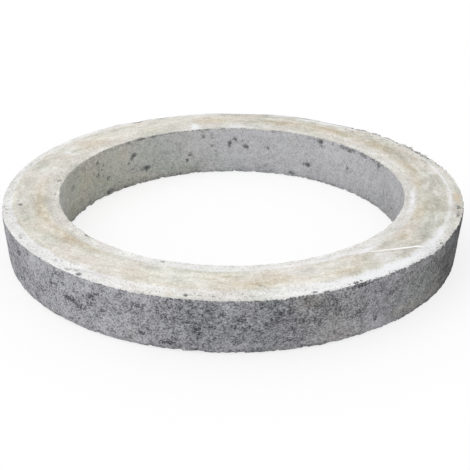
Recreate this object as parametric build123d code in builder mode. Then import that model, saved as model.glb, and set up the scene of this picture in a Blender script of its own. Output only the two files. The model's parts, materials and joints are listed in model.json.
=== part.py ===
"""Concrete manhole adjusting ring, one casting, in millimetres.

The origin is at the centre of the underside, on the axis of the bore, with +Z up.
"""

import os

from build123d import *

# Nominal sizes of the ring
bore_diameter = 600.0
top_diameter = 800.0
overall_height = 100.0

# The jacket of the mould was tapered, so the outer face leans in towards the underside
outer_draft = 7.0

# The bearing face stands a little proud of the two rims beside it, with a plain slope each side
band_rise = 3.0
outer_rim_width = 15.0
inner_rim_width = 16.0
shoulder_width = 9.0

# The arrises are rubbed and broken round
top_arris_radius = 4.0
bottom_arris_radius = 5.0

# Dry-cast concrete, in kilograms for a cubic millimetre
concrete_density = 2300e-9

bore_radius = bore_diameter / 2
top_radius = top_diameter / 2
underside_radius = top_radius - outer_draft
rim_height = overall_height - band_rise
inner_foot = bore_radius + inner_rim_width
outer_foot = top_radius - outer_rim_width

# One half section, bore side first, turned about the axis
with BuildPart() as ring:
    with BuildSketch(Plane.XZ) as section:
        with BuildLine():
            Polyline(
                (bore_radius, 0),
                (bore_radius, rim_height),
                (inner_foot, rim_height),
                (inner_foot + shoulder_width, overall_height),
                (outer_foot - shoulder_width, overall_height),
                (outer_foot, rim_height),
                (top_radius, rim_height),
                (underside_radius, 0),
                close=True,
            )
        make_face()
        fillet(section.vertices().group_by(Axis.Y)[0], bottom_arris_radius)
        rim_corners = section.vertices().group_by(Axis.Y)[-2].sort_by(Axis.X)
        fillet([rim_corners[0], rim_corners[-1]], top_arris_radius)
    revolve(axis=Axis.Z)

ring.part.label = "adjusting_ring"

os.makedirs("parts", exist_ok=True)
export_step(ring.part, "parts/adjusting_ring.step")

print("size", ring.part.bounding_box().size)
print("weight", round(ring.part.volume * concrete_density, 1), "kg")
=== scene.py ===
"""Looks of a precast concrete manhole adjusting ring that stands on a pale studio floor.

Lengths are in metres and the origin is at the centre of the underside, on the axis of the bore,
with +Z up. Angles go round the axis from +X, so -90 degrees is the side that faces the camera.
"""
import json

import bpy
import numpy as np
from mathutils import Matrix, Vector


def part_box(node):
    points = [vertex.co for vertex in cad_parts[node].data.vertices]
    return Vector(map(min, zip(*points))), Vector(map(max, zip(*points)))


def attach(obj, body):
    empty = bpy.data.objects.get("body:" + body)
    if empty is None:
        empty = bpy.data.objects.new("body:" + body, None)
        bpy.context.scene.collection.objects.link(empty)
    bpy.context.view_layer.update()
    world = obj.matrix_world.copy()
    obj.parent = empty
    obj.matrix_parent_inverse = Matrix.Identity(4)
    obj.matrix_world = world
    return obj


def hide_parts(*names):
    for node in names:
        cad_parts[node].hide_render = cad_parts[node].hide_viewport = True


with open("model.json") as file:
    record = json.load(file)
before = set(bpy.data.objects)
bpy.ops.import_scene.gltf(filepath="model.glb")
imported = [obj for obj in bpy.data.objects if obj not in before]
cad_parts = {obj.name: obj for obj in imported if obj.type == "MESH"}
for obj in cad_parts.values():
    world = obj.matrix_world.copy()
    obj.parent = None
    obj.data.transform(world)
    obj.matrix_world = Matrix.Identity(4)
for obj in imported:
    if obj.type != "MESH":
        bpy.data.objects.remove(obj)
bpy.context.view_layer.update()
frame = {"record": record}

# The ring. One casting of dry-mix concrete, tamped in a steel mould and struck while green.
# Jacket and core leave open grey walls, and the press head leaves a pale, fatty top face with a
# bearing band that stands a little proud. It rests unfixed on its underside.
mm = 0.001
ring_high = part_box("adjusting_ring")[1]
outer_radius = ring_high.x
ring_height = ring_high.z
access_bore = next(mount for mount in frame["record"]["mounts"] if mount["name"] == "access_bore")
bore_radius = access_bore["dims"]["r_mm"] * mm
outer_draft = 7 * mm
band_rise = 3 * mm
outer_rim_width = 15 * mm
inner_rim_width = 16 * mm
shoulder_width = 9 * mm

rim_height = ring_height - band_rise
inner_foot = bore_radius + inner_rim_width
outer_foot = outer_radius - outer_rim_width
middle_radius = (bore_radius + outer_radius) / 2
columns_round_ring = 920


def rounded_section(corners, roundings, arc_points, run_points):
    """Points and outward normals of a closed half section, listed anticlockwise.

    Each corner is cut back by rounding * tan(turn / 2) on both of its edges and bridged by an arc
    of that radius. The rest of each edge is divided evenly.
    """
    before = corners - np.roll(corners, 1, axis=0)
    after = np.roll(before, -1, axis=0)
    before /= np.linalg.norm(before, axis=1, keepdims=True)
    after /= np.linalg.norm(after, axis=1, keepdims=True)
    cross = before[:, 0] * after[:, 1] - before[:, 1] * after[:, 0]
    turns = np.arctan2(cross, (before * after).sum(axis=1))
    cuts = roundings * np.tan(np.abs(turns) / 2)
    starts = corners - before * cuts[:, None]
    ends = corners + after * cuts[:, None]
    points = []
    normals = []
    for i, corner_turn in enumerate(turns):
        sweep = corner_turn * np.linspace(0, 1, arc_points[i])
        first = np.array([before[i, 1], -before[i, 0]])
        fan = np.stack([first[0] * np.cos(sweep) - first[1] * np.sin(sweep),
                        first[0] * np.sin(sweep) + first[1] * np.cos(sweep)], axis=1)
        arm = roundings[i] * np.sign(corner_turn)
        points.append(starts[i] - first * arm + fan * arm)
        normals.append(fan)
        share = np.linspace(0, 1, run_points[i] + 2)[1:-1, None]
        points.append(ends[i] + (starts[(i + 1) % len(corners)] - ends[i]) * share)
        normals.append(np.repeat(fan[-1:], run_points[i], axis=0))
    return np.concatenate(points), np.concatenate(normals)


# Radius and height of each corner of the half section, its rounding in millimetres, the points on
# its arc, and the points on the edge that follows. The walls have the most, for their open grain.
section_plan = {
    "core foot": (bore_radius, 0, 4, 5, 6),
    "jacket foot": (outer_radius - outer_draft, 0, 4, 5, 27),
    "jacket arris": (outer_radius, rim_height, 2, 5, 4),
    "outer shoulder foot": (outer_foot, rim_height, 12, 2, 2),
    "outer shoulder lip": (outer_foot - shoulder_width, ring_height, 14, 2, 11),
    "inner shoulder lip": (inner_foot + shoulder_width, ring_height, 14, 2, 2),
    "inner shoulder foot": (inner_foot, rim_height, 12, 2, 4),
    "core arris": (bore_radius, rim_height, 2, 5, 20),
}
plan = np.array(list(section_plan.values()))
arc_points, run_points = plan[:, 3:].astype(int).T
section, section_normals = rounded_section(plan[:, :2], plan[:, 2] * mm, arc_points, run_points)

turn = np.linspace(0, 2 * np.pi, columns_round_ring, endpoint=False)
way_out = np.stack([np.cos(turn), np.sin(turn)], axis=1)


def turned(profile):
    """Carries (radius, height) pairs round the axis: x = r cos a, y = r sin a, z = height."""
    flat = way_out[:, None, :] * profile[None, :, :1]
    level = np.broadcast_to(profile[None, :, 1:], flat.shape[:2] + (1,))
    return np.concatenate([flat, level], axis=2).reshape(-1, 3)


nominal = turned(section)
outward = turned(section_normals)
wall = np.abs(np.tile(section_normals[:, 0], columns_round_ring))
upward = np.tile(section_normals[:, 1], columns_round_ring)
angle = np.degrees(np.repeat(np.arctan2(np.sin(turn), np.cos(turn)), len(section)))
radius = np.tile(section[:, 0], columns_round_ring)
height = nominal[:, 2]


def lumps(place, size, seed):
    """Soft random lumps about as large as size, from 0 to 1.

    Random numbers stand on the corners of cubes of that size, and along each axis of a cube they
    are blended by 3s^2 - 2s^3, where s is the share of the way across.
    """
    wrap = 64
    lattice = np.random.default_rng(seed).random((wrap, wrap, wrap))
    cell = np.floor(place / size).astype(int)
    share = place / size - cell
    share = share * share * (3 - 2 * share)
    total = np.zeros(len(place))
    for corner in np.ndindex(2, 2, 2):
        weight = np.where(corner, share, 1 - share).prod(axis=1)
        index = (cell + corner) % wrap
        total += weight * lattice[index[:, 0], index[:, 1], index[:, 2]]
    return total


def voids(place, centres, widths):
    """Depth of blow holes: each is a ragged bowl, a third as deep as wide, deepest at its centre."""
    rag_size = 4 * mm
    ragged = 0.5 + lumps(place, rag_size, seed=11)
    depth = np.zeros(len(place))
    for centre, width in zip(centres, widths):
        reach = np.linalg.norm(place - centre, axis=1) * ragged / (width / 2)
        depth = np.maximum(depth, width / 3 * np.clip(1 - reach ** 2, 0, 1))
    return depth


def on_ring(angles, radii, heights):
    """Points on the ring from angles in degrees and radii and heights in millimetres."""
    way = np.radians(angles)
    level = heights * mm + 0 * way
    return np.stack([radii * mm * np.cos(way), radii * mm * np.sin(way), level], axis=1)


def jacket_radius(height_mm):
    """Radius of the tapered outer face in millimetres, which grows evenly from foot to rim."""
    return (outer_radius - outer_draft + outer_draft * height_mm * mm / rim_height) / mm


# Blow holes seen on the walls and the top: angle in degrees, then height on a wall or radius on
# the top, and width, both in millimetres
jacket_holes = np.array([
    (-156, 60, 6), (-132, 61, 8), (-126, 43, 7), (-120, 58, 6), (-110, 22, 8), (-104, 13, 7),
    (-101, 11, 8), (-99, 12, 6), (-93, 20, 5), (-85, 34, 6), (-72, 49, 7), (-64, 16, 6), (-58, 62, 6),
    (-40, 52, 7), (-27, 60, 6), (-14, 70, 5),
])
core_holes = np.array([
    (11, 25, 7), (23, 86, 7), (40, 50, 6), (40, 88, 7), (54, 87, 9), (59, 32, 10), (76, 56, 7),
    (84, 56, 9), (86, 70, 6), (89, 73, 7), (91, 63, 10), (98, 59, 6), (101, 79, 7), (107, 43, 7),
    (108, 31, 8), (125, 30, 12), (127, 95, 9), (131, 63, 9), (133, 52, 7), (144, 7, 10), (144, 36, 8),
    (147, 60, 6), (149, 52, 7), (149, 78, 8), (158, 40, 6), (167, 63, 7), (171, 30, 6),
])
top_holes = np.array([
    (-166.5, 367, 7), (-139, 303, 6), (-124.5, 397, 7), (-99.5, 395, 6), (-73, 399, 6), (172, 306, 5),
    (176, 312, 4),
])
near_band = np.abs(top_holes[:, 1] * mm - middle_radius) < (outer_foot - inner_foot) / 2
top_levels = np.where(near_band, ring_height, rim_height) / mm

# Small holes at random all round both walls, in millimetres, some of them too shallow to show
plain_holes = 160
smallest_hole = 3
extra_width = 3.5
lowest_hole = 8
highest_hole = 90
jacket_part = 0.6
hole_inset = 4
scatter = np.random.default_rng(seed=5)
random_angles = scatter.uniform(-180, 180, plain_holes)
random_widths = smallest_hole + extra_width * scatter.random(plain_holes) ** 2
random_heights = scatter.uniform(lowest_hole, highest_hole, plain_holes)
in_jacket = scatter.random(plain_holes) < jacket_part
random_radii = np.where(in_jacket, outer_radius / mm - hole_inset, bore_radius / mm)

hole_centres = np.concatenate([
    on_ring(jacket_holes[:, 0], jacket_radius(jacket_holes[:, 1]), jacket_holes[:, 1]),
    on_ring(core_holes[:, 0], bore_radius / mm, core_holes[:, 1]),
    on_ring(top_holes[:, 0], top_holes[:, 1], top_levels),
    on_ring(random_angles, random_radii, random_heights),
])
hole_widths = mm * np.concatenate([jacket_holes[:, 2], core_holes[:, 2], top_holes[:, 2], random_widths])
hole_depth = voids(nominal, hole_centres, hole_widths)


def beside(corner, reach):
    """How near a point is to a corner of the section: exp(-(distance / reach)^2)."""
    gap = np.linalg.norm(section - section_plan[corner][:2], axis=1)
    return np.tile(np.exp(-(gap / reach) ** 2), columns_round_ring)


def arc_of(centre, half_width):
    """1 in the middle of a stretch of the ring and 0 past its ends, as a cosine bell."""
    off = (angle - centre + 180) % 360 - 180
    return np.where(np.abs(off) < half_width, 0.5 + 0.5 * np.cos(np.pi * off / half_width), 0)


def by_angle(levels):
    """Runs in a straight line from the level at one angle to the level at the next, all round."""
    return np.interp(angle, list(levels), list(levels.values()), period=360)


def dents(depth, size, seed):
    """Shallow dents: depth * (lumps - 0.6), which is below 0 where the face stands proud."""
    return depth * (lumps(nominal, size, seed) - 0.6)


def crumbs(size, seed, threshold):
    """Places where crumbs came away: lumps - threshold, and 0 below the threshold."""
    return np.clip(lumps(nominal, size, seed) - threshold, 0, 1)


# The walls swell a little as the ring is struck, and their grain stands open
swell = dents(depth=0.8 * mm, size=70 * mm, seed=1) + dents(depth=0.5 * mm, size=26 * mm, seed=2)
bed_grain = 0.3 * mm
wall_grain = 0.7 * mm
open_grain = dents(depth=bed_grain + wall_grain * wall, size=8 * mm, seed=3)

# The arrises crumble, most at the feet, and the jacket's top arris most at its right side
small_crumbs = 1.2 * crumbs(size=5 * mm, seed=6, threshold=0.45)
large_crumbs = 0.5 * crumbs(size=12 * mm, seed=7, threshold=0.5)
jacket_foot_loss = 7 * mm * beside("jacket foot", reach=5 * mm) * (1 - 0.3 * arc_of(-140, 45))
core_foot_loss = 8 * mm * beside("core foot", reach=5 * mm) * (1 + 0.9 * arc_of(150, 40))
crumbly_side = 0.35 + 0.9 * arc_of(35, 45) + 0.6 * arc_of(-30, 40)
jacket_arris_loss = 5 * mm * beside("jacket arris", reach=3.5 * mm) * crumbly_side
core_arris_loss = 3 * mm * beside("core arris", reach=3 * mm)
arris_loss = jacket_foot_loss + core_foot_loss + jacket_arris_loss + core_arris_loss
crumbling = (small_crumbs + large_crumbs) * arris_loss

# Round the back the jacket's top arris is rubbed away, and at the back right it is broken into
# teeth. A rub gives angle and half width in degrees and depth in millimetres, less than 0 where a
# piece stayed on. The foot is rubbed too, at the front.
rubs = [
    (38, 7, 2.0), (57, 12, 8.0), (67, 7, 3.0), (86, 12, 6.0), (112, 4, 3.0), (120, 3, 4.0),
    (127, 5, -1.0), (173, 18, 0.8),
]
rubbed = 1.6 * mm * arc_of(90, 135) ** 0.5
for rub_angle, half_width, depth in rubs:
    rubbed += depth * mm * arc_of(rub_angle, half_width)
tooth_depth = by_angle({5: 0, 20: 4, 35: 6, 45: 4, 50: 4, 54: 0}) * mm
teeth = np.clip(3 * (lumps(nominal, size=8 * mm, seed=8) - 0.3), 0, 1.2)
broken_deep = 2.2 * mm * arc_of(57, 12)
rubbed_foot = 1.8 * mm * arc_of(-105, 85) ** 0.5
worn = rubbed * beside("jacket arris", reach=12 * mm)
worn += tooth_depth * teeth * beside("jacket arris", reach=8 * mm)
worn += broken_deep * beside("jacket arris", reach=18 * mm)
worn += rubbed_foot * beside("jacket foot", reach=5 * mm)

relief = swell + open_grain + crumbling + worn + hole_depth
surface = nominal - outward * relief[:, None]

# The jacket is a little flat on the side that faces -X, most at the rim
flat_depth = 3.6 * mm
flat_start = 350 * mm
flat_width = 50 * mm
outer_share = np.clip((radius - flat_start) / flat_width, 0, 1)
flat_side = flat_depth * arc_of(176, 40) * outer_share * height / ring_height
surface[:, :2] *= (1 - flat_side / radius)[:, None]

# The press head and the pallet leave both beds flat, and nothing stands out past the mould
past_mould = np.hypot(surface[:, 0], surface[:, 1]) / outer_radius
surface[:, :2] /= np.maximum(past_mould, 1)[:, None]
surface[:, 2] = np.clip(surface[:, 2], 0, ring_height)

rows = len(section)
vertex = np.arange(columns_round_ring * rows).reshape(columns_round_ring, rows)
next_vertex = np.roll(vertex, -1, axis=0)
quads = [vertex, next_vertex, np.roll(next_vertex, -1, axis=1), np.roll(vertex, -1, axis=1)]
faces = np.stack(quads, axis=2).reshape(-1, 4)

ring_mesh = bpy.data.meshes.new("adjusting_ring_casting")
ring_mesh.from_pydata(surface.tolist(), [], faces.tolist())
ring_mesh.polygons.foreach_set("use_smooth", np.ones(len(faces), bool))
ring = bpy.data.objects.new("adjusting_ring_casting", ring_mesh)
bpy.context.collection.objects.link(ring)


def ovals(places, level):
    """Soft ovals on one face, each exp(-(arc / half length)^2 - (level gap / half width)^2).

    A place gives angle in degrees, then level, half length and half width in millimetres and a
    strength. The level is the radius on the top face and the height on a wall.
    """
    total = np.zeros(len(nominal))
    for spot_angle, spot_level, half_length, half_width, strength in places:
        arc = np.radians((angle - spot_angle + 180) % 360 - 180) * radius / (half_length * mm)
        gap = (level - spot_level * mm) / (half_width * mm)
        total += strength * np.exp(-arc ** 2 - gap ** 2)
    return np.clip(total, 0, 1)


# Marks on the top: tan fines, damp, lime bloom, rust, painted shade in small voids, and crumbs of bare
# grain
tan_places = [
    (-172, 335, 50, 12, 0.7), (-158, 334, 40, 12, 1.0), (-150, 352, 25, 10, 0.4),
    (-141, 334, 40, 12, 1.0), (-130, 330, 30, 5, 0.6), (-112, 358, 26, 12, 0.6),
    (-105, 377, 90, 5, 0.5), (-93, 344, 30, 14, 0.7), (-86, 366, 36, 10, 1.0),
    (-79, 350, 26, 18, 0.7), (-62, 365, 40, 9, 0.9), (-56, 345, 20, 8, 0.5), (-38, 342, 20, 8, 0.7),
    (-22, 332, 30, 8, 0.8), (-15, 348, 30, 16, 0.8), (0, 319, 150, 6, 0.45), (0, 326, 26, 7, 0.6),
    (14, 334, 40, 10, 0.8), (34, 340, 50, 14, 1.0), (54, 338, 50, 12, 1.0), (60, 318, 60, 6, 0.4),
    (72, 338, 50, 12, 0.8), (97, 340, 36, 14, 1.0), (120, 326, 40, 8, 0.4), (143, 338, 36, 14, 0.8),
]
damp_places = [
    (-170, 350, 36, 12, 0.6), (-165, 308, 40, 7, 0.6), (-163, 320, 50, 5, 0.6),
    (-160, 362, 18, 5, 0.6), (-135, 323, 150, 2.5, 0.4), (-125, 379, 90, 2, 0.3),
    (-110, 338, 40, 8, 0.4), (-106, 332, 50, 3, 0.5), (-88, 329, 60, 2.5, 0.5),
    (-72, 343, 18, 9, 0.7), (-62, 372, 30, 4, 0.5), (-54, 350, 16, 10, 0.5), (-52, 358, 60, 16, 0.5),
    (-48, 371, 60, 5, 0.6), (-44, 336, 26, 10, 0.6), (-34, 370, 40, 5, 0.8), (-31, 360, 40, 12, 1.0),
    (-14, 352, 50, 18, 0.9), (-14, 392, 60, 7, 0.8), (3, 360, 34, 12, 0.9), (24, 344, 50, 12, 0.7),
    (30, 388, 70, 6, 0.6), (42, 352, 40, 14, 0.5), (75, 366, 50, 6, 0.3), (84, 334, 26, 10, 0.6),
    (110, 330, 30, 8, 0.6), (117, 360, 16, 6, 0.9), (122, 308, 50, 8, 0.5), (133, 366, 30, 6, 0.4),
    (164, 363, 36, 5, 0.8), (165, 306, 40, 6, 0.5), (178, 358, 26, 6, 0.5),
]
lime_places = [
    (-104, 356, 12, 8, 0.4), (-94, 322, 40, 6, 0.6), (-74, 336, 20, 8, 0.6), (-70, 350, 16, 6, 0.5),
    (-62, 317, 36, 5, 0.9), (-52, 388, 100, 8, 0.9), (-51, 328, 24, 8, 0.8), (-50, 362, 20, 12, 0.5),
    (-31, 382, 40, 6, 0.9), (-24, 362, 14, 2, 0.7), (-20, 378, 40, 4, 0.8), (-12, 314, 50, 4.5, 0.85),
    (-8, 377, 40, 3, 1.1), (4, 377, 40, 3, 1.1), (8, 366, 5, 14, 0.5), (17, 378, 50, 2.6, 0.95),
    (33, 380, 40, 4, 0.5), (59, 374, 60, 10, 1.0), (88, 308, 26, 8, 0.8), (104, 308, 16, 5, 0.7),
    (104, 320, 7, 12, 0.9), (150, 390, 60, 6, 0.4), (154, 346, 8, 14, 0.6), (171, 336, 14, 2, 0.7),
]
rust_places = [(-103, 395, 6, 4, 0.4), (-11, 393, 8, 4, 0.4), (-7.5, 389, 18, 5, 0.8)]
# Painted shade: small voids on the top, painted dark as the shade inside them
top_void_shades = [
    (-173, 308, 9, 3, 0.5), (-166.3, 367, 6, 3.5, 1.2), (-156, 384, 8, 3, 0.4),
    (-149, 385, 8, 3, 0.5), (-146, 345, 8, 3, 0.3), (-144, 360, 6, 3, 0.4), (-139, 303, 7, 3, 0.8),
    (-133, 389, 8, 4, 0.5), (-128, 395, 6, 3, 0.7), (-126, 390, 10, 4, 0.4), (-124.3, 397, 5, 4, 1.2),
    (-109.8, 307, 4, 3.5, 0.8), (-102, 361, 6, 4, 0.4), (-99.6, 394, 4, 4, 0.9),
    (-96.5, 393, 5, 3, 0.5), (-94, 350, 5, 3, 0.5), (-86, 395, 5, 3, 0.5), (-83.7, 370, 5, 4, 0.7),
    (-78, 376, 5, 4, 0.4), (-73, 399, 5, 3, 0.9), (-18, 392, 12, 3, 0.6), (-13.5, 390, 7, 3.5, 0.9),
    (-4.6, 396, 7, 2, 0.6), (28, 391, 12, 4, 0.4), (43, 389, 9, 5, 0.5), (48.5, 386, 9, 5, 0.6),
    (143.5, 390, 10, 3, 0.5), (152, 390, 10, 2, 0.4), (175.5, 310, 9, 2, 0.7), (178, 304, 10, 2, 0.5),
]
crumb_places = [
    (-172, 308, 30, 5, 0.4), (-165, 392, 60, 5, 0.5), (-148, 392, 50, 5, 0.4),
    (-133, 391, 10, 4, 0.5), (-126, 394, 16, 6, 0.8), (-96, 394, 50, 5, 0.4), (-62, 398, 26, 4, 1.0),
    (-58, 394, 50, 5, 0.4), (-52, 398, 30, 4, 0.9), (-38, 398, 26, 3, 0.7), (-30, 395, 40, 6, 0.5),
    (-22, 391, 26, 5, 0.5), (-19, 393, 9, 4, 0.9), (-14, 391, 12, 5, 1.1), (24, 389, 40, 5, 1.0),
    (24, 391, 36, 4, 1.0), (32, 387, 16, 5, 0.8), (43, 389, 10, 8, 1.1), (44, 302, 20, 4, 0.5),
    (46, 390, 30, 5, 0.9), (48.5, 386, 14, 9, 1.2), (71, 391, 14, 4, 0.8), (82, 303, 20, 4, 0.5),
    (122, 392, 12, 4, 0.6), (126, 302, 30, 4, 0.7), (143, 393, 14, 4, 0.6), (166, 388, 40, 6, 0.4),
    (176, 308, 14, 5, 0.9),
]

# Marks on the walls: painted shade in a dark band under the arrises; real stains, mixed with painted
# shade, round the larger holes, along the feet and where the grain gapes; and broad shaded and light
# clouds on the jacket
core_arris_shade = [
    (33, 92, 66, 3, 0.42), (70, 95, 20, 2, 0.5), (90, 96, 60, 2, 0.5), (104, 95, 30, 2, 0.5),
    (119, 95, 46, 3, 0.55), (136, 95, 30, 3, 0.55), (146, 95, 24, 3, 0.55), (165, 93, 24, 3, 0.5),
]
core_stains_and_shade = [
    (11.5, 26, 12, 4, 0.6), (21, 93, 8, 4, 0.8), (23.5, 87, 5, 10, 1.0), (25, 6, 60, 4, 0.5),
    (27, 90, 9, 6, 0.7), (30, 68, 3, 3, 0.5), (32.5, 90, 10, 5, 0.9), (38, 90, 6, 4, 0.5),
    (39, 46, 5, 4, 0.6), (40.5, 88, 9, 5, 1.1), (41, 50, 4, 10, 0.8), (44, 90, 7, 7, 0.75),
    (48.5, 92, 6, 4, 0.6), (50, 5, 60, 3, 0.6), (53.5, 80, 7, 4, 0.9), (54.4, 89, 10, 5, 1.0),
    (54.5, 13, 5, 3, 0.5), (57, 92, 6, 3, 0.4), (58, 32, 4, 3, 0.7), (59, 91, 6, 4, 0.7),
    (60, 34, 8, 4, 1.4), (64, 85, 5, 6, 0.5), (66, 9, 8, 5, 1.0), (74, 93, 6, 4, 0.6),
    (75, 8, 12, 4, 0.4), (75, 35, 4, 3, 0.4), (76, 57, 8, 6, 0.5), (79.5, 35, 5, 3, 0.4),
    (82.5, 33, 8, 3, 0.4), (83.5, 53, 6, 4, 0.6), (84, 70, 5, 3, 0.6), (85, 58.5, 5, 4, 1.2),
    (88, 6, 10, 3, 0.5), (88.5, 71, 4, 4, 1.0), (89.5, 75, 4, 4, 0.8), (91, 57, 4, 3, 0.6),
    (91, 63, 4, 5, 1.4), (96.5, 47, 5, 3, 0.4), (97.5, 79, 4, 3, 0.5), (98, 60.5, 7, 3, 0.7),
    (98.5, 83, 5, 3, 0.5), (100, 94, 5, 3, 0.5), (101.5, 82, 5, 7, 0.7), (104, 5, 14, 3, 0.7),
    (105.5, 38, 4, 6, 0.4), (106.5, 45, 5, 4, 0.8), (107, 88, 6, 3, 0.4), (108, 33, 5, 3, 0.9),
    (112, 6, 50, 3, 0.6), (114, 94, 4, 3, 0.5), (119.5, 41, 3, 3, 0.5), (120, 6, 40, 4, 0.5),
    (120.5, 72, 6, 3, 0.5), (121.5, 45, 5, 3, 0.5), (122, 94, 5, 3, 0.6), (125, 32, 9, 4.5, 1.6),
    (127, 31, 7, 3, 0.8), (127.5, 96, 10, 3, 1.2), (128, 62, 5, 3, 0.6), (130, 44, 4, 3, 0.7),
    (130.5, 67, 7, 4, 1.2), (131.5, 36, 7, 4, 0.4), (132, 60, 5, 4, 1.1), (133, 94, 4, 3, 0.5),
    (135, 5, 20, 4, 1.0), (141.5, 6, 6, 4, 0.9), (141.5, 92, 6, 3, 0.6), (143.5, 9, 8, 5, 1.2),
    (143.5, 38, 7, 4, 0.9), (146, 68, 3, 4, 0.8), (149, 66, 3, 8, 0.5), (149.5, 53, 7, 5, 1.0),
    (149.5, 78, 6, 4, 0.7), (156, 12, 6, 3, 0.6), (160, 8, 60, 4, 0.5), (161, 25, 7, 3, 0.8),
    (163, 82, 9, 7, 0.5), (167, 66, 8, 4, 0.8),
]
jacket_arris_shade = [
    (-97, 92, 40, 3, 0.5), (-62, 93, 26, 3, 1.2), (-50, 94, 60, 2, 0.8), (-31, 94, 20, 4, 0.8),
]
jacket_stains_and_shade = [
    (-150, 24, 30, 8, 0.5), (-147.5, 76, 12, 8, 0.9), (-137, 39, 12, 6, 0.7), (-133.5, 62, 6, 5, 1.0),
    (-131, 82, 12, 5, 0.8), (-127.5, 49, 14, 6, 1.3), (-124.5, 40, 10, 6, 1.0), (-122, 51, 7, 4, 0.9),
    (-121.5, 66, 9, 6, 1.0), (-120, 8, 14, 3, 0.8), (-120, 75, 9, 5, 0.8), (-118.5, 47, 7, 5, 0.9),
    (-110, 71, 12, 6, 0.8), (-109.5, 25, 8, 4, 1.0), (-104, 61, 10, 5, 0.8), (-103.5, 15, 16, 3, 1.4),
    (-101, 75, 10, 6, 0.7), (-97.5, 43, 8, 6, 1.0), (-95, 75, 7, 6, 0.8), (-94.5, 49, 9, 4, 0.8),
    (-92, 71, 5, 5, 1.0), (-89, 23, 8, 4, 0.8), (-88.5, 62, 10, 8, 0.7), (-87, 45, 16, 6, 0.5),
    (-85, 55, 60, 16, 0.2), (-80, 70, 6, 6, 1.0), (-78, 22, 7, 4, 0.7), (-72.5, 49, 9, 3, 1.0),
    (-71.5, 70, 12, 6, 0.5), (-66, 80, 12, 8, 0.6), (-62, 47, 14, 10, 0.8), (-58, 74, 6, 4, 0.9),
    (-57.5, 24, 5, 4, 1.0), (-53.5, 37, 6, 6, 0.6), (-52.5, 66, 8, 8, 0.6), (-44, 48, 14, 6, 0.5),
    (-43.8, 31, 5, 3, 0.8), (-41, 71, 10, 6, 0.7), (-40, 6, 60, 3, 0.8), (-35, 62, 14, 8, 0.7),
    (-30, 50, 14, 10, 0.6), (-23, 78, 16, 5, 1.0),
]
jacket_shades = [
    (-147, 82, 40, 10, 1.0), (-127, 45, 20, 8, 0.5), (-96, 48, 64, 20, 0.8), (-95, 78, 40, 10, 0.7),
    (-85, 45, 60, 14, 0.8), (-75, 52, 70, 18, 0.8), (-66, 72, 60, 16, 0.9), (-48, 45, 30, 8, 0.2),
    (-46, 68, 60, 14, 0.5),
]
jacket_lights = [
    (-143, 42, 20, 8, 0.3), (-137, 16, 36, 12, 0.6), (-86, 12, 60, 12, 0.5), (-50, 12, 110, 15, 1.0),
    (-39, 36, 40, 10, 0.4),
]

# Faint greenish and ochre patches on the walls
core_greens = [
    (69, 76, 10, 12, 0.4), (75, 6, 20, 5, 0.6), (90, 16, 20, 14, 0.8), (112, 22, 60, 16, 1.0),
    (122, 62, 40, 30, 1.0), (140, 84, 10, 12, 0.6), (145, 30, 50, 26, 0.6), (163, 58, 14, 16, 0.7),
    (170, 20, 20, 12, 0.9),
]
core_ochres = [
    (11, 12, 20, 12, 0.5), (67, 78, 14, 14, 0.3), (108, 18, 50, 14, 0.6), (130, 14, 60, 12, 0.7),
    (136, 70, 16, 24, 0.7), (145, 40, 50, 20, 0.4), (150, 92, 20, 5, 0.6), (157, 55, 30, 26, 1.0),
    (168, 24, 24, 12, 1.0),
]
jacket_greens = [
    (-95, 60, 40, 30, 0.4), (-84, 28, 20, 12, 0.8), (-82, 80, 16, 16, 1.0), (-73, 84, 16, 12, 0.4),
    (-43, 20, 16, 8, 1.0), (-43, 50, 50, 26, 1.0), (-27, 60, 40, 40, 0.5),
]
jacket_ochres = [
    (-112, 22, 20, 14, 0.3), (-74, 82, 22, 12, 1.0), (-68, 50, 50, 40, 0.5), (-66, 12, 40, 12, 0.7),
    (-48, 18, 34, 12, 1.0), (-44, 62, 60, 30, 0.6), (-38, 16, 50, 12, 0.9), (-30, 40, 60, 40, 0.9),
]

# How far the pale skin of the top hangs over each arris on to the wall, and how ragged its edge is
jacket_drop = mm * by_angle({
    -150: 0.2, -130: 1.5, -112: 3.8, -90: 4.2, -80: 4.6, -70: 1.8, -60: -0.2, -48: 0.8, -36: 4.4,
    -28: 1.0, -20: -0.5, 48: 2.0, 54: 9.0, 66: 9.0, 100: 5.0, 170: 5.0,
})
core_drop = mm * by_angle({10: 3.2, 60: 2.6, 100: 1.0, 120: -0.8, 170: -1.2})
off_jacket = height - rim_height + outer_radius - radius
off_core = height - rim_height + radius - bore_radius
skin_reach = np.minimum(off_jacket + jacket_drop, off_core + core_drop)
skin_fade = 10 * mm
jacket_edge = by_angle({
    -160: 0.3, -90: 0.35, -75: 0.7, -62: 1.2, -30: 1.0, -10: 0.6, 20: 2.0, 50: 2.0, 60: 0.5,
})
core_edge = 0.8

# How light and how gritty the walls are, how light the top is, and how white its two rims are
# The jacket's tone is partly its own and partly painted shade, darker on the right, away from the lamp
jacket_tone_and_shade = by_angle({
    -170: 0.42, -140: 0.67, -120: 0.70, -100: 0.50, -80: 0.46, -60: 0.57, -40: 0.35, -30: 0.13,
    -22: 0.09, 10: 0.24, 60: 0.39, 180: 0.43,
})
jacket_clouds = 0.1 * (ovals(jacket_lights, height) - ovals(jacket_shades, height))
jacket_grit = by_angle({
    -150: 1.05, -125: 1.1, -95: 0.82, -70: 0.8, -45: 0.62, -25: 0.45, 60: 0.8, 150: 0.9,
})
# The bore's tone is partly its own and partly painted shade, lightest at the back, darker at its sides
core_tone_and_shade = by_angle({10: 0.40, 30: 0.62, 70: 0.74, 110: 0.68, 150: 0.60, 170: 0.45})
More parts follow.
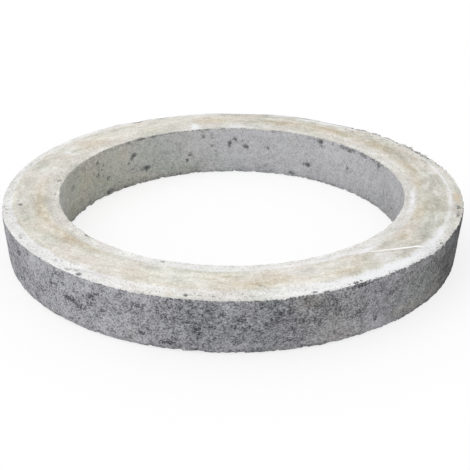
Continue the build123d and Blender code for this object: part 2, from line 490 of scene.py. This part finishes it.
# Painted shade: the bore is darker towards its foot, where less light reaches
core_foot_shade = np.interp(height / mm, [0, 18, 32, 60, 97], [-0.22, -0.12, -0.03, 0.04, 0.05])
core_grit = 0.9
olive_side = by_angle({90: 0, 145: 1, 175: 1, 200: 0})
top_tone = by_angle({
    -165: -0.11, -135: -0.01, -105: 0.15, -75: 0.17, -45: -0.05, -15: -0.19, 15: -0.12, 45: -0.12,
    75: -0.17, 105: -0.02, 135: 0.04,
})
outer_wash = by_angle({
    -125: 1, -110: 0.45, -85: 0.45, -70: 1, -38: 1, -24: 0.2, 15: 0.3, 30: 0.7, 75: 1, 95: 1,
    120: 0.5, 150: 0.7, 178: 0.7,
})
inner_wash = by_angle({
    -135: 0.3, -110: 0.8, -60: 0.6, -40: 0.5, -12: 0.55, 10: 0.35, 60: 0.2, 90: 0.4, 120: 0,
})

on_top = (upward > 0.5) & (height > 0.9 * rim_height)
on_core = (wall > 0.5) & (radius < inner_foot)
on_jacket = (wall > 0.5) & (radius > outer_foot)
outer_half = radius > middle_radius
# Blow holes are painted dark as the shade inside them, fully at this depth, and so are the top's voids
hole_shade_depth = 2.5 * mm
painted = {
    "press_skin": np.clip(0.5 + skin_reach / skin_fade, 0, 1),
    "ragged_edge": np.where(outer_half, jacket_edge, core_edge),
    "blow_hole_shade": np.clip(hole_depth / hole_shade_depth + ovals(top_void_shades, radius) * on_top, 0, 1),
    "wall_tone_and_shade": np.where(on_core, core_tone_and_shade + core_foot_shade, jacket_tone_and_shade + jacket_clouds),
    "wall_grit": np.where(on_core, core_grit, jacket_grit),
    "olive": olive_side * on_core,
    # Painted shade under the arrises, along the feet and round holes, with real stains, darkens the grain
    "stain_and_shade": (ovals(core_arris_shade + core_stains_and_shade, height) * on_core
              + ovals(jacket_arris_shade + jacket_stains_and_shade, height) * on_jacket),
    "green_tint": ovals(core_greens, height) * on_core + ovals(jacket_greens, height) * on_jacket,
    "ochre_tint": ovals(core_ochres, height) * on_core + ovals(jacket_ochres, height) * on_jacket,
    "top_tone": top_tone,
    "limewash": np.where(outer_half, outer_wash, inner_wash),
    "tan_fines": ovals(tan_places, radius) * on_top,
    "damp": ovals(damp_places, radius) * on_top,
    "lime": ovals(lime_places, radius) * on_top,
    "rust": ovals(rust_places, radius) * on_top,
    "crumbs": ovals(crumb_places, radius) * on_top,
}
for name, values in painted.items():
    layer = ring_mesh.attributes.new(name, "FLOAT", "POINT")
    layer.data.foreach_set("value", values.astype(np.float32))


def node(tree, kind, inputs=None, **settings):
    """Adds one shader node. inputs gives each socket a value, or the node or socket that feeds it."""
    made = tree.nodes.new("ShaderNode" + kind)
    for name, value in settings.items():
        setattr(made, name, value)
    for name, value in (inputs or {}).items():
        source = value.outputs[0] if isinstance(value, bpy.types.Node) else value
        if isinstance(source, bpy.types.NodeSocket):
            tree.links.new(source, made.inputs[name])
        else:
            made.inputs[name].default_value = source
    return made


def paint(code):
    """An sRGB hex colour as linear RGBA: c / 12.92 in the toe, else ((c + 0.055) / 1.055)^2.4."""
    channels = np.array([int(code[i:i + 2], 16) for i in (1, 3, 5)]) / 255
    linear = np.where(channels <= 0.04045, channels / 12.92, ((channels + 0.055) / 1.055) ** 2.4)
    return (*linear, 1.0)


# Dry-mix concrete as struck: open grey walls, painted dark as shade where the grain gapes and pale
# where sand shows, under a smooth pale top of lime and fines. Dull all over, with no sheen.
concrete = bpy.data.materials.new("pressed_concrete")
concrete.use_nodes = True
tree = concrete.node_tree
tree.nodes.clear()
place = node(tree, "TexCoord").outputs["Object"]
mark = {name: node(tree, "Attribute", attribute_name=name).outputs["Fac"] for name in painted}

# The walls: fine grains in clusters and broad clouds, all laid a little flat by the tamping. Each
# pattern has its middle at 0.5, so half the sum of the weights brings the middle of all three to 0.
grain_width = 3.4 * mm
cluster_width = 13 * mm
cloud_width = 60 * mm
grain_weight = 3.4
cluster_weight = 1.15
cloud_weight = 0.5
wall_middle = (grain_weight + cluster_weight + cloud_weight) / 2
flattening = 1.25
laid = node(tree, "Mapping", {"Vector": place, "Scale": (1, 1, flattening)})
grain = node(tree, "TexNoise", {"Vector": laid, "Scale": 1 / grain_width, "Detail": 3, "Roughness": 0.85})
clusters = node(tree, "TexNoise", {
    "Vector": laid, "Scale": 1 / cluster_width, "Detail": 2, "Roughness": 0.6})
clouds = node(tree, "TexNoise", {"Vector": laid, "Scale": 1 / cloud_width, "Detail": 1, "Roughness": 0.5})
clustered = node(
    tree, "Math", {0: clusters, 1: cluster_weight, 2: -wall_middle}, operation="MULTIPLY_ADD")
grained = node(tree, "Math", {0: grain, 1: grain_weight, 2: clustered}, operation="MULTIPLY_ADD")
texture = node(tree, "Math", {0: clouds, 1: cloud_weight, 2: grained}, operation="MULTIPLY_ADD")
wall_light = node(
    tree, "Math", {0: texture, 1: mark["wall_grit"], 2: mark["wall_tone_and_shade"]},
    operation="MULTIPLY_ADD", use_clamp=True)
jacket_face = node(tree, "MixRGB", {
    "Fac": wall_light, "Color1": paint("#3C3C3F"), "Color2": paint("#C6C6CB")})
core_grey = node(tree, "MixRGB", {
    "Fac": wall_light, "Color1": paint("#9C9C9E"), "Color2": paint("#D2D2D5")})
core_olive = node(tree, "MixRGB", {
    "Fac": wall_light, "Color1": paint("#90908A"), "Color2": paint("#CDCCC2")})
core_face = node(tree, "MixRGB", {"Fac": mark["olive"], "Color1": core_grey, "Color2": core_olive})
axes = node(tree, "SeparateXYZ", {0: place})
flat_place = node(tree, "CombineXYZ", {0: axes.outputs[0], 1: axes.outputs[1]})
from_axis = node(tree, "VectorMath", {0: flat_place}, operation="LENGTH").outputs["Value"]
inner_half = node(tree, "Math", {0: from_axis, 1: middle_radius}, operation="LESS_THAN")
walls = node(tree, "MixRGB", {"Fac": inner_half, "Color1": jacket_face, "Color2": core_face})
greened = node(
    tree, "MixRGB", {"Fac": mark["green_tint"], "Color1": walls, "Color2": paint("#F4FBF7")},
    blend_type="MULTIPLY")
tinted = node(
    tree, "MixRGB", {"Fac": mark["ochre_tint"], "Color1": greened, "Color2": paint("#FFFBF2")},
    blend_type="MULTIPLY")
# Painted shade in the open voids: the darkest grains, and more where the stain and shade mask is high
pits = node(tree, "Math", {0: grain, 1: -3.2, 2: mark["stain_and_shade"]}, operation="MULTIPLY_ADD")
pit_shade_share = node(tree, "MapRange", {"Value": pits, "From Min": -1.35, "From Max": -0.7, "To Max": 0.92})
pit_shade_colour = node(tree, "MixRGB", {
    "Fac": inner_half, "Color1": paint("#464649"), "Color2": paint("#707071")})
pit_shaded = node(tree, "MixRGB", {"Fac": pit_shade_share, "Color1": tinted, "Color2": pit_shade_colour})

# The pressed top: sandy cream on the band, near white on the rims, with the head's faint strokes.
# Patterns read (bearing * draw, radius), so a smaller draw makes them longer round the ring.
sand_width = 3.5 * mm
mottle_width = 13 * mm
patch_width = 40 * mm
stroke_width = 7 * mm
patch_draw = 170 * mm
stroke_draw = 60 * mm
patch_weight = 1.0
sand_weight = 1.6
stroke_weight = 0.5
mottle_weight = 1.2
top_middle = (patch_weight + sand_weight + stroke_weight + mottle_weight) / 2
top_spread = 0.59
sand = node(tree, "TexNoise", {"Vector": place, "Scale": 1 / sand_width, "Detail": 2, "Roughness": 0.6})
bearing = node(tree, "VectorMath", {0: flat_place}, operation="NORMALIZE")
radial = node(tree, "CombineXYZ", {2: from_axis})
swept = node(
    tree, "VectorMath", {0: bearing, 1: (patch_draw, patch_draw, 0), 2: radial},
    operation="MULTIPLY_ADD")
stroked = node(
    tree, "VectorMath", {0: bearing, 1: (stroke_draw, stroke_draw, 0), 2: radial},
    operation="MULTIPLY_ADD")
mottle = node(tree, "TexNoise", {
    "Vector": swept, "Scale": 1 / mottle_width, "Detail": 3, "Roughness": 0.6})
patches = node(tree, "TexNoise", {
    "Vector": swept, "Scale": 1 / patch_width, "Detail": 2, "Roughness": 0.6})
strokes = node(tree, "TexNoise", {
    "Vector": stroked, "Scale": 1 / stroke_width, "Detail": 2, "Roughness": 0.5})
toned = node(
    tree, "Math", {0: patches, 1: patch_weight, 2: mark["top_tone"]}, operation="MULTIPLY_ADD")
sanded = node(tree, "Math", {0: sand, 1: sand_weight, 2: toned}, operation="MULTIPLY_ADD")
brushed = node(tree, "Math", {0: strokes, 1: stroke_weight, 2: sanded}, operation="MULTIPLY_ADD")
top_texture = node(tree, "Math", {0: mottle, 1: mottle_weight, 2: brushed}, operation="MULTIPLY_ADD")
top_light = node(tree, "MapRange", {
    "Value": top_texture, "From Min": top_middle - top_spread, "From Max": top_middle + top_spread})
cream_green = node(tree, "MixRGB", {
    "Fac": top_light, "Color1": paint("#B9B8AB"), "Color2": paint("#F2F1E8")})
cream_pink = node(tree, "MixRGB", {
    "Fac": top_light, "Color1": paint("#C1B7AC"), "Color2": paint("#F3EEE7")})
blush = node(tree, "MapRange", {"Value": clouds, "From Min": 0.38, "From Max": 0.62, "To Max": 0.85})
cream = node(tree, "MixRGB", {"Fac": blush, "Color1": cream_green, "Color2": cream_pink})
tan_depth = node(tree, "MapRange", {
    "Value": top_texture, "From Min": top_middle + 0.5, "From Max": top_middle - 0.3,
    "To Min": 0.5, "To Max": 1.0})
tan_share = node(tree, "Math", {0: mark["tan_fines"], 1: tan_depth}, operation="MULTIPLY")
tan_sand = node(tree, "MixRGB", {
    "Fac": top_light, "Color1": paint("#B0A289"), "Color2": paint("#E9DDC7")})
band_face = node(tree, "MixRGB", {"Fac": tan_share, "Color1": cream, "Color2": tan_sand})
limewash = node(tree, "MixRGB", {
    "Fac": top_light, "Color1": paint("#D3D3D2"), "Color2": paint("#F9F9F9")})
rims_smooth = node(tree, "MixRGB", {"Fac": mark["limewash"], "Color1": band_face, "Color2": limewash})
rim_grit = node(tree, "MapRange", {"Value": sand, "From Min": 0.44, "From Max": 0.3, "To Max": 0.45})
rims = node(tree, "MixRGB", {"Fac": rim_grit, "Color1": rims_smooth, "Color2": paint("#A8A8A6")})

# The band's cream ends part way down each shoulder, on a wandering line
wander_width = 6 * mm
wander = node(tree, "MapRange", {"Value": mottle, "To Min": -wander_width, "To Max": wander_width})
edge_radius = node(tree, "Math", {0: from_axis, 1: wander}, operation="ADD")
band_in = inner_foot + 0.8 * shoulder_width
band_out = outer_foot - 0.6 * shoulder_width
fade_in = 2 * mm
fade_out = 1.5 * mm
rise_in = node(tree, "MapRange", {
    "Value": edge_radius, "From Min": band_in - fade_in, "From Max": band_in + fade_in})
fall_out = node(tree, "MapRange", {
    "Value": edge_radius, "From Min": band_out + fade_out, "From Max": band_out - fade_out})
on_band = node(tree, "Math", {0: rise_in, 1: fall_out}, operation="MULTIPLY")
pale = node(tree, "MixRGB", {"Fac": on_band, "Color1": rims, "Color2": band_face})

# Damp patches, lime bloom and a little rust lie over both
damp_grey = node(tree, "MixRGB", {
    "Fac": top_light, "Color1": paint("#989990"), "Color2": paint("#D6D5CB")})
damp_share = node(tree, "Math", {0: mark["damp"], 1: 0.75}, operation="MULTIPLY")
dampened = node(tree, "MixRGB", {"Fac": damp_share, "Color1": pale, "Color2": damp_grey})
lime_edge = node(tree, "Math", {0: mottle, 1: 1.6, 2: mark["lime"]}, operation="MULTIPLY_ADD")
lime_share = node(tree, "MapRange", {"Value": lime_edge, "From Min": 0.9, "From Max": 1.9})
limed = node(tree, "MixRGB", {"Fac": lime_share, "Color1": dampened, "Color2": paint("#F1F2F5")})
rusty = node(tree, "MixRGB", {"Fac": mark["rust"], "Color1": limed, "Color2": paint("#D6C4A6")})

# A chalky scratch runs across the band with a painted shadow beside it, a grey line along one side.
# It is faint at first and bright over its last third, and it wanders a little off its straight line.
scratch_start = on_ring(np.array([-62.0]), 315, ring_height / mm)[0]
scratch_end = on_ring(np.array([-39.0]), 384, ring_height / mm)[0]
scratch_way = scratch_end - scratch_start
scratch_length = float(np.hypot(scratch_way[0], scratch_way[1]))
scratch_turn = float(np.arctan2(scratch_way[1], scratch_way[0]))
scratch_half_width = 1.6 * mm
scratch_taper = 0.012
scratch_wander = 3 * mm
faint_length = 110 * mm
tail_length = 15 * mm
# The grey line beside the scratch is a painted shadow: its offset, half width and full-strength middle
shade_line_offset = 3.4 * mm
shade_line_half_width = 2.4 * mm
shade_line_crest = 0.6 * mm
along_scratch = node(
    tree, "Mapping", {"Vector": place, "Location": tuple(scratch_start), "Rotation": (0, 0, scratch_turn)},
    vector_type="TEXTURE")
scratch_axes = node(tree, "SeparateXYZ", {0: along_scratch})
scratch_run = scratch_axes.outputs[0]
scratch_bend = node(tree, "MapRange", {
    "Value": mottle, "To Min": -scratch_wander, "To Max": scratch_wander})
scratch_side = node(tree, "Math", {0: scratch_axes.outputs[1], 1: scratch_bend}, operation="ADD")
scratch_gap = node(tree, "Math", {0: scratch_side}, operation="ABSOLUTE")
tapered_gap = node(
    tree, "Math", {0: scratch_run, 1: -scratch_taper, 2: scratch_gap}, operation="MULTIPLY_ADD")
scratch_core = node(tree, "MapRange", {
    "Value": tapered_gap, "From Min": scratch_half_width, "From Max": 0})
scratch_in = node(tree, "MapRange", {"Value": scratch_run, "From Min": 0, "From Max": faint_length})
scratch_out = node(tree, "MapRange", {
    "Value": scratch_run, "From Min": scratch_length, "From Max": scratch_length - tail_length})
scratch_ends = node(tree, "Math", {0: scratch_in, 1: scratch_out}, operation="MULTIPLY")
scratch = node(tree, "Math", {0: scratch_core, 1: scratch_ends}, operation="MULTIPLY")
# Painted shadow: a grey line along one side of the scratch, fading at the ends like the scratch
shade_line_side = node(tree, "Math", {0: scratch_side, 1: shade_line_offset}, operation="ADD")
shade_line_gap = node(tree, "Math", {0: shade_line_side}, operation="ABSOLUTE")
shade_line_core = node(tree, "MapRange", {
    "Value": shade_line_gap, "From Min": shade_line_half_width, "From Max": shade_line_crest, "To Max": 0.5})
lip = node(tree, "Math", {0: shade_line_core, 1: scratch_ends}, operation="MULTIPLY")
shade_lined = node(tree, "MixRGB", {"Fac": lip, "Color1": rusty, "Color2": paint("#A3A29B")})
scratched = node(tree, "MixRGB", {"Fac": scratch, "Color1": shade_lined, "Color2": paint("#FFFFFE")})

# Bare grain shows through the skin as dark crumbs, thickly where the rims are rubbed
crumb_width = 4.5 * mm
bare = node(tree, "TexNoise", {"Vector": place, "Scale": 1 / crumb_width, "Detail": 1, "Roughness": 0.5})
bareness = node(tree, "Math", {0: mark["crumbs"], 1: 0.22, 2: bare}, operation="MULTIPLY_ADD")
crumb = node(tree, "MapRange", {"Value": bareness, "From Min": 0.74, "From Max": 0.82})
crumbed = node(tree, "MixRGB", {"Fac": crumb, "Color1": scratched, "Color2": paint("#747473")})

# The skin ends on a ragged line at the walls, and in both the blow holes are painted dark as shade
fine_rag = 1.2
broad_rag = 1.0
rag_middle = (fine_rag + broad_rag) / 2
edge_noise = node(tree, "Math", {0: grain, 1: fine_rag, 2: -rag_middle}, operation="MULTIPLY_ADD")
edge_wave = node(tree, "Math", {0: clusters, 1: broad_rag, 2: edge_noise}, operation="MULTIPLY_ADD")
skin_ragged = node(
    tree, "Math", {0: edge_wave, 1: mark["ragged_edge"], 2: mark["press_skin"]},
    operation="MULTIPLY_ADD")
skin = node(tree, "MapRange", {"Value": skin_ragged, "From Min": 0.46, "From Max": 0.54})
skinned = node(tree, "MixRGB", {"Fac": skin, "Color1": pit_shaded, "Color2": crumbed})
hole_shade_edge = node(tree, "Math", {0: grain, 1: -0.9, 2: mark["blow_hole_shade"]}, operation="MULTIPLY_ADD")
hole_shade_share = node(tree, "MapRange", {
    "Value": hole_shade_edge, "From Min": -0.25, "From Max": 0.4, "To Max": 0.9})
hole_shaded = node(tree, "MixRGB", {"Fac": hole_shade_share, "Color1": skinned, "Color2": paint("#6B6B6D")})

# The open walls are rougher to the touch than the skin, and both are matt
grain_depth = 1.5 * mm
open_height = node(tree, "Math", {0: grain, 1: clusters}, operation="ADD")
skin_calm = node(tree, "MapRange", {"Value": skin, "To Min": 1.0, "To Max": 0.3})
grain_height = node(tree, "Math", {0: open_height, 1: skin_calm}, operation="MULTIPLY")
grain_bump = node(tree, "Bump", {"Height": grain_height, "Distance": grain_depth, "Strength": 0.6})
dullness = node(tree, "MapRange", {"Value": skin, "To Min": 0.97, "To Max": 0.82})
finish = node(tree, "BsdfPrincipled", {
    "Base Color": hole_shaded, "Roughness": dullness, "Normal": grain_bump, "Specular IOR Level": 0.3})
node(tree, "OutputMaterial", {"Surface": finish})
ring_mesh.materials.append(concrete)

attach(ring, "root")
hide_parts("adjusting_ring")

# The studio floor: one wide sheet of matt white board under the ring, plain and unmarked.
# The camera sees it three quarters lifted to white, so that the ring's soft shadow stays on it.
floor_half = 20.0
white_lift = 0.75
floor_corners = [(-floor_half, -floor_half, 0), (floor_half, -floor_half, 0),
                 (floor_half, floor_half, 0), (-floor_half, floor_half, 0)]
floor_mesh = bpy.data.meshes.new("studio_floor")
floor_mesh.from_pydata(floor_corners, [], [(0, 1, 2, 3)])
floor = bpy.data.objects.new("studio_floor", floor_mesh)
bpy.context.collection.objects.link(floor)
board = bpy.data.materials.new("matt_white_board")
board.use_nodes = True
tree = board.node_tree
tree.nodes.clear()
matt = node(tree, "BsdfDiffuse", {"Color": paint("#F0F0F0")})
matt_seen = node(tree, "BsdfDiffuse", {"Color": paint("#FFFFFF")})
white_seen = node(tree, "Emission", {"Color": paint("#FFFFFF"), "Strength": 1.0})
board_seen = node(tree, "MixShader", {0: white_lift, 1: matt_seen, 2: white_seen})
rays = node(tree, "LightPath")
board_shader = node(tree, "MixShader", {0: rays.outputs["Is Camera Ray"], 1: matt, 2: board_seen})
node(tree, "OutputMaterial", {"Surface": board_shader})
floor_mesh.materials.append(board)

# The studio room: white all round, and a little brighter on the left than on the right.
# The camera and any glossy face see it as plain white.
left_strength = 0.95
right_strength = 0.75
world = bpy.data.worlds.new("white_room")
bpy.context.scene.world = world
world.use_nodes = True
tree = world.node_tree
tree.nodes.clear()
rays = node(tree, "LightPath")
seen_white = node(
    tree, "Math", {0: rays.outputs["Is Camera Ray"], 1: rays.outputs["Is Glossy Ray"]},
    operation="MAXIMUM")
room_way = node(tree, "SeparateXYZ", {0: node(tree, "TexCoord").outputs["Generated"]})
side_level = node(tree, "MapRange", {
    "Value": room_way.outputs[0], "From Min": -1, "From Max": 1,
    "To Min": left_strength, "To Max": right_strength})
room_level = node(tree, "MapRange", {"Value": seen_white, "To Min": side_level, "To Max": 1})
room = node(tree, "Background", {"Color": paint("#FFFFFF"), "Strength": room_level})
node(tree, "OutputWorld", {"Surface": room})

# The lamp: one broad soft light high above, a little to the left and towards the camera
lamp_from = Vector((-0.35, -0.1, 0.93))
broad_lamp = bpy.data.lights.new("broad_lamp", "SUN")
broad_lamp.angle = np.radians(50)
broad_lamp.energy = 0.55
lamp = bpy.data.objects.new("broad_lamp", broad_lamp)
lamp.rotation_euler = (-lamp_from).to_track_quat("-Z", "Y").to_euler()
bpy.context.collection.objects.link(lamp)

# The camera: 1.73 m from the foot of the axis and 26 degrees up, aimed a touch to its right, with
# a lens of about 73 mm
camera_distance = 1.732
camera_rise = np.radians(26.06)
aim_turn = np.radians(0.18)
camera_data = bpy.data.cameras.new("camera")
camera_data.sensor_width = 36
camera_data.lens = 73.4
camera = bpy.data.objects.new("camera", camera_data)
camera.location = (0, -camera_distance * np.cos(camera_rise), camera_distance * np.sin(camera_rise))
camera.rotation_euler = (np.pi / 2 - camera_rise, 0, -aim_turn)
bpy.context.collection.objects.link(camera)
bpy.context.scene.camera = camera
bpy.context.scene.view_settings.view_transform = "Standard"
